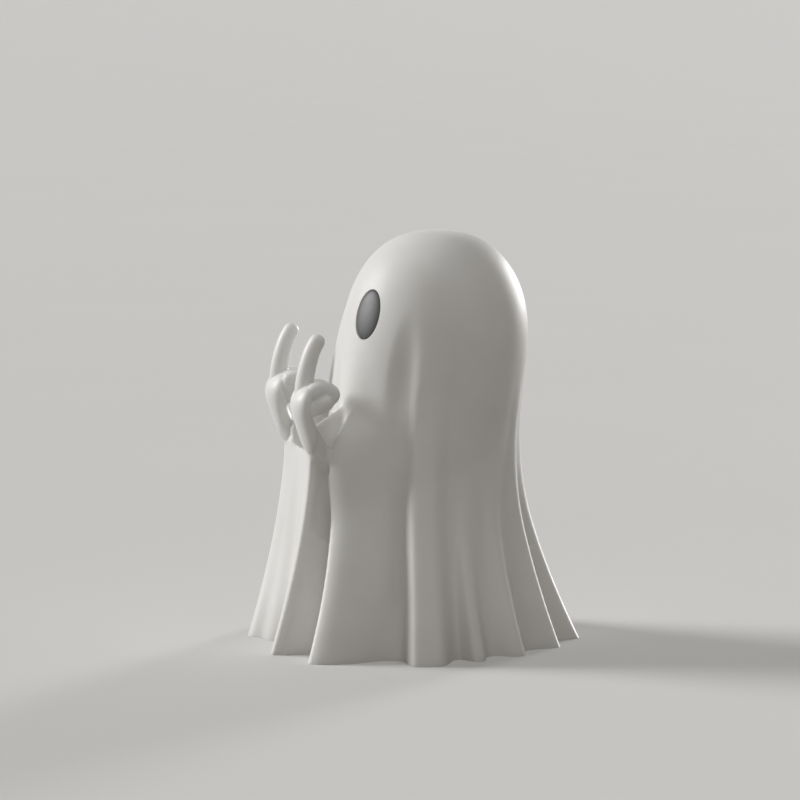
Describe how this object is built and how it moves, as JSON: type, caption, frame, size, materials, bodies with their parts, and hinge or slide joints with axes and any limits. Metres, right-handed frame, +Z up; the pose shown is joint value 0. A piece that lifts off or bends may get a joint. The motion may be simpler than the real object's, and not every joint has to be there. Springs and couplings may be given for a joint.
{
  "type": "ghost figurine",
  "caption": "Bed-sheet ghost figurine: a hollow draped body on a wavy hem, with raised fists and domed oval eyes.",
  "frame": {"origin": "centre of the base, at the level of the hem", "axes": "+Z up from the hem to the crown, -Y to the ghost's front, +X to the ghost's left"},
  "size_m": [0.0928, 0.0979, 0.125],
  "materials": {
    "sheet": "satin white",
    "hand": "satin white",
    "eye": "satin dark grey"
  },
  "bodies": {
    "root": {"sheet_body": "sheet", "left_hand": "hand", "right_hand": "hand", "left_eye": "eye", "right_eye": "eye"}
  },
  "joints": []
}
